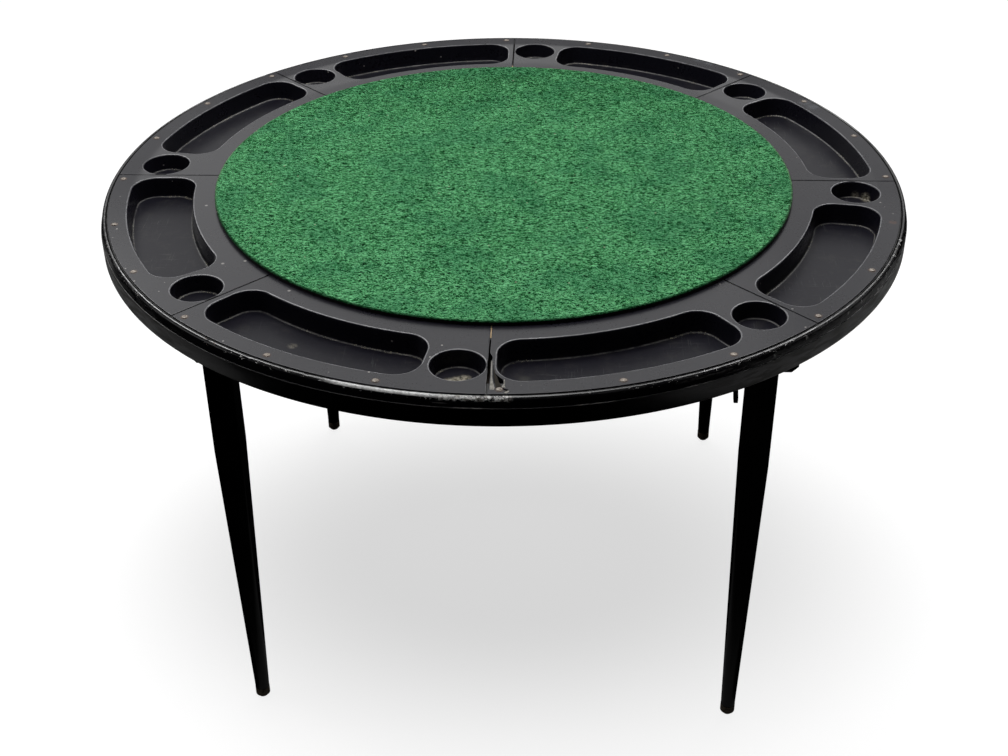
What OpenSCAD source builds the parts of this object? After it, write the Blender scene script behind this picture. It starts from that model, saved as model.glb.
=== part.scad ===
// Folding poker table: a round top with a ring of moulded player trays round a carpeted
// centre, on four tapered legs that fold under the top one behind the other.
// Millimetres. Z is up, the floor is Z = 0 and the table's axis is the Z axis.

/* [Table top] */
// Outer radius of the table, over the rim
table_r = 609.6; // [570:0.2:660]
// Height of the tray ring's upper face above the floor
table_h = 750; // [690:1:765]
// Thickness of the bent hoop that makes the rim
rim_t = 9.5; // [7.5:0.5:14]
// Height of the sloping band along the top of the rim
rim_slope_h = 14; // [8:1:22]
// How far the sloping band leans in from the face to the nose
rim_lean = 4.2; // [3:0.2:6]
// Step between the sloping band and the rim's face
rim_step = 0.8; // [0.4:0.1:1.5]
// How far the rim hangs below the bottom panel
rim_lap = 1; // [0.5:0.5:4]
// Thickness of the bottom panel
deck_t = 7; // [5:0.5:12]
// Thickness of the centre panel under the playing surface
centre_t = 12; // [8:1:16]
// Radius of the block that props the middle of the centre panel
core_r = 80; // [50:5:140]
// Thickness of the board under the carpet
felt_board_t = 3.5; // [3:0.5:6]
// Thickness of the carpet
carpet_t = 4; // [3:0.5:8]

/* [Tray ring] */
// Thickness of the moulded plastic
shell_t = 2; // [1.6:0.1:3]
// Gap between the plastic and the rim
rim_gap = 1.7; // [1:0.1:3]
// Gap between two neighbouring segments
seam_w = 1.2; // [0.6:0.1:2.4]
// Flat land between the plastic's outer edge and a tray
outer_land = 26.4; // [22:0.2:34]
// Width of a tray across the ring
tray_w = 100.5; // [86:0.5:110]
// Flat land between a tray and the carpet
inner_land = 31; // [24:0.5:44]
// How far the plastic runs in under the carpeted board
tuck_w = 18; // [10:1:30]
// Depth of a tray
tray_depth = 31; // [27:0.5:36]
// Radius of a tray's corners, seen from above
tray_corner_r = 36; // [24:1:42]
// Land between a seam and the tray that follows it
seam_land = 8.2; // [5:0.2:14]
// Land between a tray and the cup that follows it
cup_land = 5.6; // [4.5:0.2:10]
// Radius of a cup holder
cup_r = 37.6; // [33:0.2:40]
// Depth of a cup holder
cup_depth = 24.5; // [16:0.5:27]
// Distance from the plastic's outer edge to a cup's centre
cup_inset = 63.1; // [62.5:0.1:74]
// Distance from a cup's centre to the next seam
cup_seam = 38.9; // [38.7:0.1:46]
// Rounding of the lip of trays and cups
lip_r = 2.5; // [1.5:0.1:3]
// How far a wall leans in from its lip to its floor
wall_draft = 2.5; // [1:0.1:4]
// Rounding between wall and floor
floor_r = 3; // [2:0.5:5]
// Diameter of a nail's head
nail_head_d = 6.4; // [5:0.1:8]
// Diameter of a nail's shank
nail_d = 2.4; // [1.8:0.1:3]
// Length of a nail's shank
nail_len = 22; // [14:1:27]
// Distance from the plastic's outer edge to the ring of nails
nail_inset = 9.8; // [7:0.2:13]
// Distance from a seam to the first nail after it
nail_first = 15.4; // [9:0.2:24]

/* [Legs] */
// Width of a leg where it is square, at the top
leg_w = 38.5; // [34:0.5:44]
// Length of the square stretch below the pivot
leg_square = 187; // [120:1:260]
// Diameter of a leg at its foot
foot_d = 22; // [19:0.5:26]
// Distance of a leg's centre from the outside of the rim
leg_inset = 80.5; // [76:0.5:95]
// How far the leg stations are turned past the diagonals, in degrees
leg_skew = 1.4; // [0:0.1:3]
// Height of the metal band at the foot
ferrule_h = 14; // [10:0.5:24]
// Thickness of the metal band
ferrule_t = 0.9; // [0.6:0.1:1.5]
// Height of the glide under the band
glide_h = 5; // [3:0.5:8]
// Diameter of the glide
glide_d = 17; // [13:0.5:18.5]

/* [Folding hardware] */
// Thickness of the bracket and track plates
plate_t = 2.5; // [2:0.1:3.5]
// Side play between a leg and its bracket's cheeks
cheek_play = 0.5; // [0.3:0.1:1]
// Diameter of the bolt that a leg turns on
pivot_d = 8; // [6:0.5:10]
// Width of a bracket's base and stop beyond its cheeks, on each side
base_wing = 22.5; // [14:0.5:25]
// Length of a bracket's base behind the pivot
base_rear = 46; // [36:1:54]
// Length of a bracket's base in front of its stop
base_front = 23; // [18:1:30]
// How far the stop reaches below the pivot
stop_drop = 26; // [16:1:32]
// Distance from the leg's pivot down to the brace's pivot
brace_a = 58; // [52:1:68]
// How far the brace runs on below its pivot
brace_tail = 20; // [0:1:26]
// Slope of the brace while the leg stands, in degrees
brace_slope = 45; // [42:1:50]
// Width of the brace
brace_w = 17; // [14:0.5:20]
// Thickness of the brace
brace_t = 5; // [3:0.5:6]
// Gap between the leg's side and the brace
brace_gap = 13; // [11:0.5:16]
// Height of the brace's upper pin above the leg's pivot, while the leg stands
pin_rise = 8; // [5:0.5:10]
// Diameter of the brace's pins
pin_d = 5; // [4:0.5:5.5]
// Clearance on each side of the pin in its slot
slot_play = 0.25; // [0.15:0.05:0.4]
// Metal left round the slot
slot_margin = 7; // [5:0.5:8]
// Width of the track's screwed flange
track_flange = 17.5; // [15:0.5:24]
// Diameter of the screw heads
screw_head_d = 7; // [6:0.5:8]
// Length of the screws, under the head
screw_len = 8; // [7:0.5:9]

/* [Hidden] */
STATIONS = ["front_right", "back_right", "back_left", "front_left"];
SEGMENTS = 8;
$fn = 96;

// A shaft's radial play in a hole that it turns in, and a fixed shank's in its hole
turn_play = 0.05;
fixed_play = 0.05;
// Gap between pieces that only lie beside each other
slack = 0.6;
// How far a cutting shape runs past the face that it cuts
past = 1;
// Gap where two faces turn or slide on each other
seat_gap = 0.15;
// Thickness of the bare end of a hull
skin = 0.01;
// Steps in a small rounding, and in the curve of the slot
round_steps = 3;
slot_steps = 24;
// Steps along each arc of a tray's outline, and round each of its corners
arc_steps = 8;
corner_steps = 5;

// Heights
tray_floor_z = table_h - tray_depth;
deck_top_z = tray_floor_z - shell_t;
deck_z = deck_top_z - deck_t;
rim_z = deck_z - rim_lap;
flange_z = table_h - shell_t;
centre_z = flange_z - centre_t;

// Radii, from the rim inwards
hoop_r_in = table_r - rim_t;
plastic_r = hoop_r_in - rim_gap;
panel_r = hoop_r_in - 2 * seat_gap;
tray_r_out = plastic_r - outer_land;
tray_r_in = tray_r_out - tray_w;
carpet_r = tray_r_in - inner_land;
plastic_r_in = carpet_r - tuck_w;
cup_centre_r = plastic_r - cup_inset;
tray_mid_r = (tray_r_in + tray_r_out) / 2;
nailing_r_in = max(tray_r_out - lip_r, cup_centre_r + cup_r - lip_r) + shell_t + slack;
inner_ring_r = tray_r_in + lip_r - shell_t - slack;

// Angles within one segment, counted from its first seam
segment_a = 360 / SEGMENTS;
tray_a0 = asin(seam_land / tray_mid_r);
cup_a = segment_a - asin(cup_seam / cup_centre_r);
tray_a1 = cup_a - asin((cup_r + cup_land) / cup_centre_r);
nail_r = plastic_r - nail_inset;
nails_per_segment = 3;
nail_a0 = asin(nail_first / nail_r);
nail_pitch_a = segment_a / nails_per_segment;

// Leg stations and the leg itself
leg_r = table_r - leg_inset;
station_x = leg_r * cos(45 + leg_skew);
station_y = -leg_r * sin(45 + leg_skew);
leg_top_gap = 1;
pivot_z = deck_z - plate_t - leg_top_gap - leg_w / 2;
ferrule_top_z = glide_h + ferrule_h;
ferrule_proud = 0.3;
ferrule_r = foot_d / 2 + ferrule_proud;
ferrule_bevel = 0.7;
spigot_r = ferrule_r - ferrule_t - fixed_play;
glide_nail_d = 3;
glide_nail_len = 20;
glide_rim = 1.2;
taper_top_z = pivot_z - leg_square;
// Half the leg's width at a height
function leg_half_w(z) = let (
    share = (z - ferrule_top_z) / (taper_top_z - ferrule_top_z)
) foot_d / 2 + (leg_w - foot_d) / 2 * min(1, share);

// Bracket
cheek_x = leg_w / 2 + cheek_play;
lobe_r = pivot_d / 2 + 9;
stop_y = -leg_w / 2 - 2 * seat_gap;
stop_corner = 9;
bolt_head_h = 5;
bolt_head_r = pivot_d * 0.87;
bolt_end = 3;
screw_d = 3.6;

// Brace and its track, in the plane where the leg folds: distance from the leg's pivot and
// height above it
brace_len = (brace_a + pin_rise) / sin(brace_slope);
brace_x = leg_w / 2 + brace_gap;
brace_pivot_z = pivot_z - brace_a;
rivet_collar_r = 6;
rivet_depth = 22;
track_gap = 0.8;
track_x = brace_x + brace_t + track_gap;
pin_head_r = pin_d / 2 + 3;
pin_head_t = 1.6;
washer_t = 0.8;
slot_w = pin_d / 2 + slot_play;
track_edge = slot_w + slot_margin;
track_top = deck_z - pivot_z;
// The brace turns half as far, against the sky, as the leg does at a slope of 45 degrees
brace_share = brace_slope / 90;
// Where the brace's upper pin is while the leg stands at an angle to the top
function pin_at(a) = [brace_a * cos(a) + brace_len * cos(a * brace_share),
                      brace_len * sin(a * brace_share) - brace_a * sin(a)];
function pin_run(a) = [brace_a * sin(a) + brace_len * brace_share * sin(a * brace_share),
                       brace_a * cos(a) - brace_len * brace_share * cos(a * brace_share)];
function left_of(v) = [-v[1], v[0]] / norm(v);
// The pin's path moved sideways, from the standing end to the folded end
function slot_side(d) = [
    for (i = [0:slot_steps]) let (a = 90 * (1 - i / slot_steps)) pin_at(a) + d * left_of(pin_run(a))
];
function heading(a) = [cos(a), sin(a)];
function arc(c, r, a0, a1, n) = [for (i = [0:n]) c + r * heading(a0 + (a1 - a0) * i / n)];
function reversed(list) = [for (i = [len(list) - 1:-1:0]) list[i]];

// A tray's or a cup's wall in section, from the lip down to the floor: distance outside the
// lip's line, and height from the ring's upper face. The void has the rounded lip.
function void_wall(depth) = concat(
    [[0, past]],
    [for (i = [0:round_steps]) let (a = 90 * i / round_steps) [-lip_r * sin(a), lip_r * (cos(a) - 1)]],
    arc([-lip_r - wall_draft - floor_r, floor_r - depth], floor_r, 0, -90, round_steps)
);
function shell_wall(depth) = concat(
    [[shell_t - lip_r, -shell_t / 2]],
    arc([-lip_r - wall_draft - floor_r, floor_r - depth], floor_r + shell_t, 0, -90, round_steps)
);
function wall_top(wall) = wall[0][1];
function wall_foot(wall) = wall[len(wall) - 1][1];

// Table top

module rim_hoop() {
    nose_r = table_r - rim_lean - rim_step;
    nose_flat = 0.4;
    bead = 1.2;
    slope_z = table_h - rim_z - rim_slope_h;
    color("#17171a")
    translate([0, 0, rim_z])
    rotate_extrude() polygon(concat(
        [[hoop_r_in, 0], [table_r - bead, 0]],
        arc([table_r - bead, bead], bead, -60, 0, 2),
        [[table_r, slope_z]],
        [for (i = [0:6]) let (a = 90 * i / 6)
            [nose_r + rim_lean * cos(a), slope_z + (rim_slope_h - nose_flat) * sin(a)]],
        [[hoop_r_in + bead, table_h - rim_z - bead], [hoop_r_in, table_h - rim_z - 2 * bead]]
    ));
}

module disc(r, z, t) {
    translate([0, 0, z]) cylinder(r = r, h = t);
}

module ring(r_in, r_out, z, t) {
    translate([0, 0, z]) difference() {
        cylinder(r = r_out, h = t);
        translate([0, 0, -past]) cylinder(r = r_in, h = t + 2 * past);
    }
}

module deck_panel() {
    color("#2a2723")
    difference() {
        disc(panel_r, deck_z, deck_t);
        each_station() screw_places(fixed_play);
    }
}

module nailing_ring() {
    color("#b18a5c")
    difference() {
        ring(nailing_r_in, panel_r, deck_top_z, flange_z - deck_top_z);
        each_nail() nail_hole();
    }
}

module inner_ring() {
    color("#b18a5c") ring(plastic_r_in, inner_ring_r, deck_top_z, centre_z - deck_top_z);
}

module core_block() {
    color("#b18a5c") disc(core_r, deck_top_z, centre_z - deck_top_z);
}

module centre_panel() {
    color("#b99768") disc(inner_ring_r, centre_z, centre_t);
}

module felt_board() {
    color("#1c1c1c") disc(carpet_r - 1, table_h, felt_board_t);
}

module playing_carpet() {
    roll = carpet_t / 2;
    color("#1f7a45")
    translate([0, 0, table_h + felt_board_t])
    rotate_extrude() polygon(concat(
        [[0, 0]],
        arc([carpet_r - roll, roll], roll, -90, 90, 8),
        [[0, carpet_t]]
    ));
}

// Tray ring

// The outline of a tray seen from above, moved outwards by a distance: the outer arc, then
// round the far end, back along the inner arc and round the near end
function tray_outline(out) = let (
    corner_in = tray_r_in + tray_corner_r,
    corner_out = tray_r_out - tray_corner_r,
    a_in = asin(tray_corner_r / corner_in),
    a_out = asin(tray_corner_r / corner_out),
    step_in = (90 - a_in) / corner_steps,
    step_out = (90 + a_out) / corner_steps,
    r = tray_corner_r + out,
    a0 = tray_a0,
    a1 = tray_a1
) concat(
    arc([0, 0], tray_r_out + out, a0 + a_out, a1 - a_out, arc_steps),
    arc(corner_out * heading(a1 - a_out), r, a1 - a_out + step_out, a1 + 90, corner_steps - 1),
    arc(corner_in * heading(a1 - a_in), r, a1 + 90, a1 + 180 - a_in - step_in, corner_steps - 1),
    arc([0, 0], tray_r_in - out, a1 - a_in, a0 + a_in, arc_steps),
    arc(corner_in * heading(a0 + a_in), r, a0 + a_in + 180 + step_in, a0 + 270, corner_steps - 1),
    arc(corner_out * heading(a0 + a_out), r, a0 - 90, a0 + a_out - step_out, corner_steps - 1)
);

// A tray's hollow or its outside: one wall section lofted round the outline
module tray_form(wall) {
    rings = [for (p = wall) [for (q = tray_outline(p[0])) [q[0], q[1], p[1]]]];
    n = len(rings[0]);
    last = n * (len(wall) - 1);
    polyhedron(
        points = [for (ring = rings) each ring],
        faces = concat(
            [[for (i = [n - 1:-1:0]) i], [for (i = [0:n - 1]) last + i]],
            [for (k = [0:n:last - n]) for (i = [0:n - 1])
                [k + i, k + (i + 1) % n, k + n + (i + 1) % n, k + n + i]]
        )
    );
}

module cup_form(wall) {
    rotate([0, 0, cup_a]) translate([cup_centre_r, 0, 0])
    rotate_extrude() polygon(concat(
        [[0, wall_foot(wall)], [0, wall_top(wall)]],
        [for (p = wall) [cup_r + p[0], p[1]]]
    ));
}

module tray_segment(i) {
    color("#3a3a40")
    rotate([0, 0, (i - 1) * segment_a]) translate([0, 0, table_h]) difference() {
        union() {
            translate([0, 0, -shell_t]) linear_extrude(shell_t) segment_outline();
            tray_form(shell_wall(tray_depth));
            cup_form(shell_wall(cup_depth));
        }
        tray_form(void_wall(tray_depth));
        cup_form(void_wall(cup_depth));
        for (n = [0:nails_per_segment - 1])
            rotate([0, 0, nail_a0 + n * nail_pitch_a]) translate([nail_r, 0, -table_h]) nail_hole();
    }
}

// A sector of the ring, cut back from each seam by half the seam's width
module segment_outline() {
    apex = seam_w / 2 / sin(segment_a / 2);
    reach = plastic_r * 1.5;
    intersection() {
        difference() {
            circle(r = plastic_r);
            circle(r = plastic_r_in);
        }
        rotate([0, 0, segment_a / 2]) translate([apex, 0]) polygon([
            [0, 0],
            reach * [cos(segment_a / 2), -sin(segment_a / 2)],
            reach * [cos(segment_a / 2), sin(segment_a / 2)]
        ]);
    }
}

module each_nail() {
    for (i = [0:SEGMENTS - 1])
        for (n = [0:nails_per_segment - 1])
            rotate([0, 0, i * segment_a + nail_a0 + n * nail_pitch_a])
                translate([nail_r, 0, 0]) children();
}

module nail_hole() {
    translate([0, 0, table_h - nail_len - past])
        cylinder(d = nail_d + 2 * fixed_play, h = nail_len + 2 * past);
}

module tray_nails() {
    head_h = 1.3;
    color("#a8988a")
    each_nail() translate([0, 0, table_h]) rotate_extrude()
        polygon(concat(
            [[0, -nail_len], [nail_d / 2, 1 - nail_len], [nail_d / 2, 0], [nail_head_d / 2, 0]],
            [for (i = [1:3]) [nail_head_d / 2 * cos(30 * i), head_h * sin(30 * i)]]
        ));
}

// Legs and their folding hardware. Each station is drawn at the front right: its leg turns
// about the station's X axis and folds towards +Y. The others are turned by quarter turns.

module at_station(k) {
    rotate([0, 0, 90 * k]) translate([station_x, station_y, 0]) children();
}

module each_station() {
    for (k = [0:len(STATIONS) - 1]) at_station(k) children();
}

// Lays a drawing made in the folding plane against the plane X = x, towards -X
module in_fold_plane(x, t) {
    translate([x, 0, pivot_z]) rotate([90, 0, 90]) linear_extrude(t) children();
}

module leg_bracket(k) {
    base_x = cheek_x + plate_t + base_wing;
    color("#242428")
    at_station(k) difference() {
        union() {
            translate([-base_x, stop_y - base_front, deck_z - plate_t])
                cube([2 * base_x, base_front + base_rear - stop_y, plate_t]);
            in_fold_plane(cheek_x, plate_t) cheek_outline();
            in_fold_plane(-cheek_x - plate_t, plate_t) cheek_outline();
            translate([0, stop_y, pivot_z]) rotate([90, 0, 0]) linear_extrude(plate_t) stop_outline();
        }
        translate([-base_x, 0, pivot_z]) rotate([0, 90, 0])
            cylinder(d = pivot_d + 2 * turn_play, h = 2 * base_x);
        screw_places(fixed_play);
    }
}

// A cheek: a triangle that hangs from the base and rounds the pivot
module cheek_outline() {
    top = deck_z - plate_t / 2 - pivot_z;
    circle(r = lobe_r);
    polygon([
        [stop_y - plate_t / 2, top],
        [stop_y - plate_t / 2, -stop_drop / 2],
        (lobe_r - past) * heading(-115),
        (lobe_r - past) * heading(-40),
        [base_rear - 6, top]
    ]);
}

// The stop that the standing leg leans on, wider than the leg and cut off at its corners
module stop_outline() {
    half = cheek_x + plate_t + base_wing;
    top = deck_z - plate_t / 2 - pivot_z;
    polygon([
        [-half, top],
        [-half, stop_corner - stop_drop],
        [stop_corner - half, -stop_drop],
        [half - stop_corner, -stop_drop],
        [half, stop_corner - stop_drop],
        [half, top]
    ]);
}

module brace_track(k) {
    top = deck_z - plate_t / 2 - pivot_z;
    color("#2e2e32")
    at_station(k) difference() {
        union() {
            in_fold_plane(-track_x - plate_t, plate_t) track_outline(top);
            translate([-track_x - plate_t - track_flange, track_start(), deck_z - plate_t])
                cube([track_flange + plate_t, track_end() - track_start(), plate_t]);
        }
        in_fold_plane(-track_x - plate_t - past, plate_t + 2 * past)
            polygon(concat(slot_side(slot_w), reversed(slot_side(-slot_w))));
        for (a = [0, 90]) fold_bore(pin_at(a), slot_w, -track_x - plate_t - past, plate_t + 2 * past);
        screw_places(fixed_play);
    }
}

function track_start() = pin_at(90)[0] - track_edge;
function track_end() = pin_at(0)[0] + track_edge;

// The web of the track: level along the top, and following the slot below
module track_outline(top) {
    down = left_of(pin_run(90));
    polygon(concat(
        [[track_end(), top], [track_start(), top], [track_start(), pin_at(90)[1]]],
        arc(pin_at(90), track_edge, 180, 180 + acos(down[0]), round_steps),
        slot_side(-track_edge)
    ));
}

// A round hole across the folding plane
module fold_bore(p, r, x, len) {
    translate([x, p[0], pivot_z + p[1]]) rotate([0, 90, 0]) cylinder(r = r, h = len);
}

module leg(k) {
    side = leg_half_w(brace_pivot_z);
    color("#141416")
    at_station(k) difference() {
        union() {
            translate([-leg_w / 2, 0, pivot_z]) rotate([0, 90, 0]) cylinder(d = leg_w, h = leg_w);
            translate([-leg_w / 2, -leg_w / 2, taper_top_z]) cube([leg_w, leg_w, leg_square]);
            hull() {
                translate([-leg_w / 2, -leg_w / 2, taper_top_z - skin]) cube([leg_w, leg_w, skin]);
                translate([0, 0, ferrule_top_z]) cylinder(d = foot_d, h = skin, $fn = 32);
            }
            translate([0, 0, glide_h + ferrule_t]) cylinder(r = spigot_r, h = 2 * ferrule_h);
        }
        fold_bore([0, 0], pivot_d / 2 + turn_play, -leg_w, 2 * leg_w);
        fold_bore([0, -brace_a], pin_d / 2 + fixed_play, -side - past, rivet_depth + past);
        translate([0, 0, glide_h]) cylinder(d = glide_nail_d + 2 * fixed_play, h = glide_nail_len + past);
    }
}

module leg_ferrule(k) {
    color("#8a6f4a")
    at_station(k) translate([0, 0, glide_h]) rotate_extrude() polygon([
        [glide_nail_d / 2 + fixed_play, 0],
        [ferrule_r - ferrule_bevel, 0],
        [ferrule_r, ferrule_bevel],
        [ferrule_r, ferrule_h],
        [ferrule_r - ferrule_t, ferrule_h],
        [ferrule_r - ferrule_t, ferrule_t],
        [glide_nail_d / 2 + fixed_play, ferrule_t]
    ]);
}

module leg_glide(k) {
    flat_r = glide_d * 0.32;
    crown_h = glide_h - glide_rim;
    color("#3b332b")
    at_station(k) rotate_extrude() polygon(concat(
        [[0, 0], [flat_r, 0]],
        [for (i = [1:4]) [flat_r + (glide_d / 2 - flat_r) * sin(22.5 * i), crown_h * (1 - cos(22.5 * i))]],
        [[glide_d / 2, glide_h], [glide_nail_d / 2, glide_h],
         [glide_nail_d / 2, glide_h + glide_nail_len - 2], [0, glide_h + glide_nail_len]]
    ));
}

module leg_pivot_bolts() {
    grip = cheek_x + plate_t;
    color("#8d8d90")
    each_station() translate([0, 0, pivot_z]) rotate([0, 90, 0]) {
        translate([0, 0, -grip - bolt_head_h - bolt_end])
            cylinder(d = pivot_d, h = 2 * grip + 2 * bolt_head_h + bolt_end);
        translate([0, 0, grip]) cylinder(r = bolt_head_r, h = bolt_head_h, $fn = 6);
    }
}

module leg_pivot_nuts() {
    grip = cheek_x + plate_t;
    color("#8d8d90")
    each_station() translate([-grip - bolt_head_h, 0, pivot_z]) rotate([0, 90, 0]) difference() {
        cylinder(r = bolt_head_r, h = bolt_head_h, $fn = 6);
        translate([0, 0, -past]) cylinder(d = pivot_d + 2 * fixed_play, h = bolt_head_h + 2 * past);
    }
}

// Places of the screws that hold a bracket and its track, as [x, y] in the station
function screw_spots() = let (
    side = cheek_x + plate_t + base_wing / 2,
    front = stop_y - plate_t - screw_head_d / 2 - 3,
    rear = base_rear - screw_head_d,
    flange = -track_x - plate_t - track_flange / 2
) [
    [side, front], [-side, front], [side, rear], [-side, rear],
    for (t = [0.08, 0.5, 0.92]) [flange, track_start() + t * (track_end() - track_start())]
];

// The shanks of the screws, as holes with a play or as solids without one
module screw_places(play) {
    tip_z = deck_z - plate_t + screw_len;
    for (p = screw_spots())
        translate([p[0], p[1], deck_z - plate_t - past])
            cylinder(d = screw_d + 2 * play, h = tip_z - deck_z + plate_t + past + play);
}

module bracket_screws() {
    head_h = 2.2;
    color("#6f6c68")
    each_station() for (p = screw_spots()) translate([p[0], p[1], deck_z - plate_t]) rotate_extrude()
        polygon(concat(
            [for (i = [0:3]) [screw_head_d / 2 * sin(30 * i), -head_h * cos(30 * i)]],
            [[screw_d / 2, 0], [screw_d / 2, screw_len - 1], [0, screw_len]]
        ));
}

module brace(k) {
    color("#2e2e32")
    at_station(k) difference() {
        in_fold_plane(-brace_x - brace_t, brace_t) brace_outline();
        for (p = [[0, -brace_a], pin_at(90)])
            fold_bore(p, pin_d / 2 + turn_play, -brace_x - brace_t - past, brace_t + 2 * past);
    }
}

// A flat bar between two round ends, which are a little wider than the bar. It runs on below
// its pivot as a short tail.
module brace_outline() {
    bar_w = brace_w - 2 * fixed_play;
    tail_end = [0, -brace_a] - brace_tail * heading(brace_slope);
    for (p = [tail_end, pin_at(90)]) translate(p) circle(d = brace_w);
    translate(tail_end) rotate(brace_slope)
        translate([0, -bar_w / 2]) square([brace_len + brace_tail, bar_w]);
}

// The rivet that the brace turns on: flush with the brace, with a collar against the leg
module brace_rivet(k) {
    side = leg_half_w(brace_pivot_z);
    color("#8d8d90")
    at_station(k) {
        fold_bore([0, -brace_a], pin_d / 2, -brace_x - brace_t, brace_x + brace_t - side + rivet_depth);
        fold_bore([0, -brace_a], rivet_collar_r, -brace_x + seat_gap, brace_x - side - 2 * seat_gap);
    }
}

// The pin that runs in the slot, headed on both sides, with its spring washer
module brace_pin(k) {
    washer_x = -track_x - plate_t - seat_gap - washer_t;
    outer = washer_x - seat_gap;
    inner = -brace_x + seat_gap;
    color("#8d8d90")
    at_station(k) {
        fold_bore(pin_at(90), pin_d / 2, outer - pin_head_t, inner - outer + pin_head_t);
        fold_bore(pin_at(90), pin_head_r, outer - pin_head_t, pin_head_t);
        fold_bore(pin_at(90), pin_head_r, inner, pin_head_t);
        difference() {
            fold_bore(pin_at(90), pin_head_r + washer_t, washer_x, washer_t);
            fold_bore(pin_at(90), pin_d / 2 + turn_play, washer_x - past, washer_t + 2 * past);
        }
    }
}

rim_hoop();
deck_panel();
nailing_ring();
inner_ring();
core_block();
centre_panel();
felt_board();
playing_carpet();
tray_nails();
for (i = [1:SEGMENTS])
    tray_segment(i);
leg_pivot_bolts();
leg_pivot_nuts();
bracket_screws();
for (k = [0:len(STATIONS) - 1]) {
    leg_bracket(k);
    brace_track(k);
    leg(k);
    leg_ferrule(k);
    leg_glide(k);
    brace_rivet(k);
    brace(k);
    brace_pin(k);
}
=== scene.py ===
# %% [markdown]
# # A folding poker table and its looks
# The construction of this table is finished already: every board, leg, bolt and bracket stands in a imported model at
# its real size. This lesson loads that model as a fixed frame and works on what the eye meets: black moulded plastic,
# chipped paint, rough green carpet and worn metal. Pieces whose skin matters most are modelled again with finer
# forms, and each of them takes the place of the plain part that it stands for.

# %% Load the construction
import functools
import math
import random

import bmesh
import bpy
from mathutils import Matrix, Quaternion, Vector, noise


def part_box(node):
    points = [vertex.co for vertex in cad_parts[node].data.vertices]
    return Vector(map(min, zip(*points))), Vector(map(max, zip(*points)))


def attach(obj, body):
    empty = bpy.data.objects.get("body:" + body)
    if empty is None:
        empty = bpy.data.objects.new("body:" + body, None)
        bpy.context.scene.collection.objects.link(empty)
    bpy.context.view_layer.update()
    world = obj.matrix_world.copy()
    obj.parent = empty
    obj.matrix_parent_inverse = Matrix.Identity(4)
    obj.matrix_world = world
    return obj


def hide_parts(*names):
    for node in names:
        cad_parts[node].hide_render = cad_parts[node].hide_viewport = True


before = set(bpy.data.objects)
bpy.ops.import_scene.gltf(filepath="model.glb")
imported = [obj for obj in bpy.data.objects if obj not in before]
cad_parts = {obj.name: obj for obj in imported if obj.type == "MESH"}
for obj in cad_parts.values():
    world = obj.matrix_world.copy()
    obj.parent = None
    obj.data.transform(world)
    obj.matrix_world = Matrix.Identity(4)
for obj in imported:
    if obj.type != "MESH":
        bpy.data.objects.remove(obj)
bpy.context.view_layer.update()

MM = 0.001
UP = Vector((0, 0, 1))


# %% [markdown]
# ## Sizes
# A model that is dressed in a second program goes wrong once a size is typed twice. So the main sizes are read from
# the frame, in millimetres, and only what a box cannot tell is written down here, such as the width of a tray.

# %% Read the main sizes from the frame
def span(part):
    """The lowest and the highest corner of a part of the frame, in millimetres."""
    low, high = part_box(part)
    return low / MM, high / MM


rim_low, rim_high = span("rim_hoop")
TABLE_R = rim_high.x
RIM_BOTTOM = rim_low.z
RIM_TOP = rim_high.z
RING_TOP = span("tray_segment_1")[1].z
carpet_high = span("playing_carpet")[1]
CARPET_R = carpet_high.x
CARPET_TOP = carpet_high.z
SEGMENTS = 8
STATIONS = ["front_right", "back_right", "back_left", "front_left"]
print(f"top {2 * TABLE_R:.0f} mm across, ring at {RING_TOP:.0f} mm, carpet up to {CARPET_TOP:.1f} mm")

# %% Sizes of the rim and the tray ring that a box cannot tell
HOOP_T = 9.0
RIM_GAP = 2.2
SHELL_T = 2.0
SEAM_W = 1.9
UNDER_CARPET = 18
EDGE_TO_TRAY = 26.4
EDGE_TO_CUP = 63.1
EDGE_TO_NAIL = 9.8
TRAY_W = 100.5
TRAY_DEPTH = 31.0
TRAY_CORNER = 36.0
CUP_R = 37.6
CUP_DEPTH = 24.5
LIP_R = 2.5
WALL_DRAFT = 2.5
FLOOR_R = 3.0
PLASTIC_R = TABLE_R - HOOP_T - RIM_GAP
PLASTIC_R_IN = CARPET_R - UNDER_CARPET
TRAY_R_OUT = PLASTIC_R - EDGE_TO_TRAY
TRAY_R_IN = TRAY_R_OUT - TRAY_W
CUP_CENTRE_R = PLASTIC_R - EDGE_TO_CUP
NAIL_R = PLASTIC_R - EDGE_TO_NAIL
print(f"plastic ring from {PLASTIC_R_IN:.1f} to {PLASTIC_R:.1f} mm, trays from {TRAY_R_IN:.1f} to {TRAY_R_OUT:.1f} mm")

# %% Where trays, cups and nails sit within a segment
SEAM_TO_TRAY = 8.2
TRAY_TO_CUP = 5.6
CUP_TO_SEAM = 38.9
SEAM_TO_NAIL = 15.4
NAILS_IN_SEGMENT = 3
HEADLESS = 347.0


def angle_of(width, reach):
    """The angle in degrees under which a width is seen from a distance."""
    return math.degrees(math.asin(width / reach))


SEGMENT_A = 360 / SEGMENTS
TRAY_A0 = angle_of(SEAM_TO_TRAY, (TRAY_R_IN + TRAY_R_OUT) / 2)
CUP_A = SEGMENT_A - angle_of(CUP_TO_SEAM, CUP_CENTRE_R)
TRAY_A1 = CUP_A - angle_of(CUP_R + TRAY_TO_CUP, CUP_CENTRE_R)
NAIL_A0 = angle_of(SEAM_TO_NAIL, NAIL_R)
NAIL_A = SEGMENT_A / NAILS_IN_SEGMENT
print(f"a tray spans {TRAY_A0:.2f} to {TRAY_A1:.2f} degrees of each segment, its cup sits at {CUP_A:.2f}")


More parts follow.
